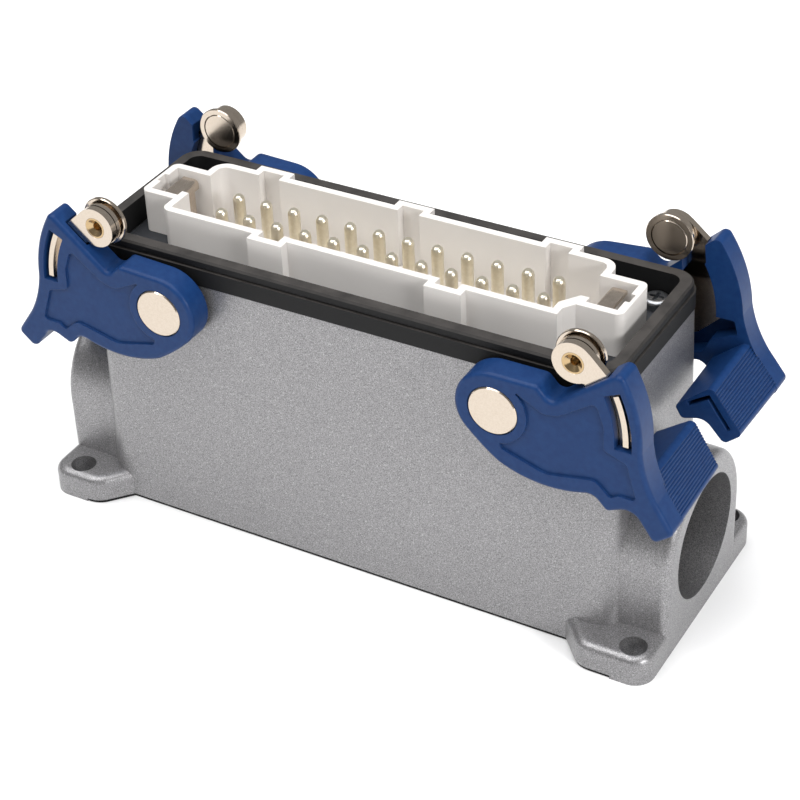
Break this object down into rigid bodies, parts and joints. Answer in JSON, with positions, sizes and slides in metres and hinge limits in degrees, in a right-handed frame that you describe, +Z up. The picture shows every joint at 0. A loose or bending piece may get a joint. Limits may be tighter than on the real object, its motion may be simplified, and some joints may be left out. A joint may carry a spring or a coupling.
{
  "type": "heavy duty rectangular connector",
  "caption": "Surface mounted rectangular power connector: die-cast housing with a cable entry at each end, rim seal, keyed pin insert and hinged locking levers with rollers.",
  "frame": {"origin": "middle of the four foot holes, on the plane that the feet stand on", "axes": "+X along the housing towards the end whose cable entry the picture shows, -Y towards the long face seen in the picture, +Z up out of the insert"},
  "size_m": [0.1489, 0.0538, 0.0753],
  "materials": {
    "die_cast_alloy": "satin",
    "seal_rubber": "matte",
    "insert_plastic": "matte",
    "cast_zinc": "satin",
    "lever_plastic": "satin",
    "nickel_steel": "polished",
    "zinc_steel": "satin",
    "silver_brass": "polished"
  },
  "bodies": {
    "base": {"housing": "die_cast_alloy", "base_seal": "seal_rubber", "rim_seal": "seal_rubber", "insert_body": "insert_plastic", "insert_frame": "cast_zinc", "insert_screws": "zinc_steel", "clamp_screws": "zinc_steel", "earth_screws": "zinc_steel", "earth_spring_left": "nickel_steel", "earth_spring_right": "nickel_steel", "contact_pin_01": "silver_brass", "contact_pin_02": "silver_brass", "contact_pin_03": "silver_brass", "contact_pin_04": "silver_brass", "contact_pin_05": "silver_brass", "contact_pin_06": "silver_brass", "contact_pin_07": "silver_brass", "contact_pin_08": "silver_brass", "contact_pin_09": "silver_brass", "contact_pin_10": "silver_brass", "contact_pin_11": "silver_brass", "contact_pin_12": "silver_brass", "contact_pin_13": "silver_brass", "contact_pin_14": "silver_brass", "contact_pin_15": "silver_brass", "contact_pin_16": "silver_brass", "contact_pin_17": "silver_brass", "contact_pin_18": "silver_brass", "contact_pin_19": "silver_brass", "contact_pin_20": "silver_brass", "contact_pin_21": "silver_brass", "contact_pin_22": "silver_brass", "contact_pin_23": "silver_brass", "contact_pin_24": "silver_brass", "front_right_pivot_rivet": "nickel_steel", "front_left_pivot_rivet": "nickel_steel", "back_right_pivot_rivet": "nickel_steel", "back_left_pivot_rivet": "nickel_steel"},
    "front_right_lever_group": {"front_right_lever": "lever_plastic", "front_right_arm": "nickel_steel", "front_right_roller_pin": "nickel_steel"},
    "front_right_roller_group": {"front_right_roller": "nickel_steel"},
    "front_left_lever_group": {"front_left_lever": "lever_plastic", "front_left_arm": "nickel_steel", "front_left_roller_pin": "nickel_steel"},
    "front_left_roller_group": {"front_left_roller": "nickel_steel"},
    "back_right_lever_group": {"back_right_lever": "lever_plastic", "back_right_arm": "nickel_steel", "back_right_roller_pin": "nickel_steel"},
    "back_right_roller_group": {"back_right_roller": "nickel_steel"},
    "back_left_lever_group": {"back_left_lever": "lever_plastic", "back_left_arm": "nickel_steel", "back_left_roller_pin": "nickel_steel"},
    "back_left_roller_group": {"back_left_roller": "nickel_steel"}
  },
  "joints": [
    {"name": "front_right_lever_hinge", "type": "hinge", "parent": "base", "child": "front_right_lever_group", "pos_m": [0.0372, -0.024, 0.0549], "axis": [0, -1, 0], "range_deg": [0, 75]},
    {"name": "front_right_roller_spin", "type": "hinge", "parent": "front_right_lever_group", "child": "front_right_roller_group", "pos_m": [0.0526, -0.02165, 0.069], "axis": [0, 1, 0], "continuous": true},
    {"name": "front_left_lever_hinge", "type": "hinge", "parent": "base", "child": "front_left_lever_group", "pos_m": [-0.0372, -0.024, 0.0549], "axis": [0, 1, 0], "range_deg": [-2.8, 72.2]},
    {"name": "front_left_roller_spin", "type": "hinge", "parent": "front_left_lever_group", "child": "front_left_roller_group", "pos_m": [-0.05189, -0.02165, 0.06974], "axis": [0, 1, 0], "continuous": true},
    {"name": "back_right_lever_hinge", "type": "hinge", "parent": "base", "child": "back_right_lever_group", "pos_m": [0.0372, 0.024, 0.0549], "axis": [0, -1, 0], "range_deg": [-5.2, 69.8]},
    {"name": "back_right_roller_spin", "type": "hinge", "parent": "back_right_lever_group", "child": "back_right_roller_group", "pos_m": [0.05126, 0.02165, 0.07034], "axis": [0, 1, 0], "continuous": true},
    {"name": "back_left_lever_hinge", "type": "hinge", "parent": "base", "child": "back_left_lever_group", "pos_m": [-0.0372, 0.024, 0.0549], "axis": [0, 1, 0], "range_deg": [-2, 73]},
    {"name": "back_left_roller_spin", "type": "hinge", "parent": "back_left_lever_group", "child": "back_left_roller_group", "pos_m": [-0.0521, 0.02165, 0.06953], "axis": [0, 1, 0], "continuous": true}
  ]
}
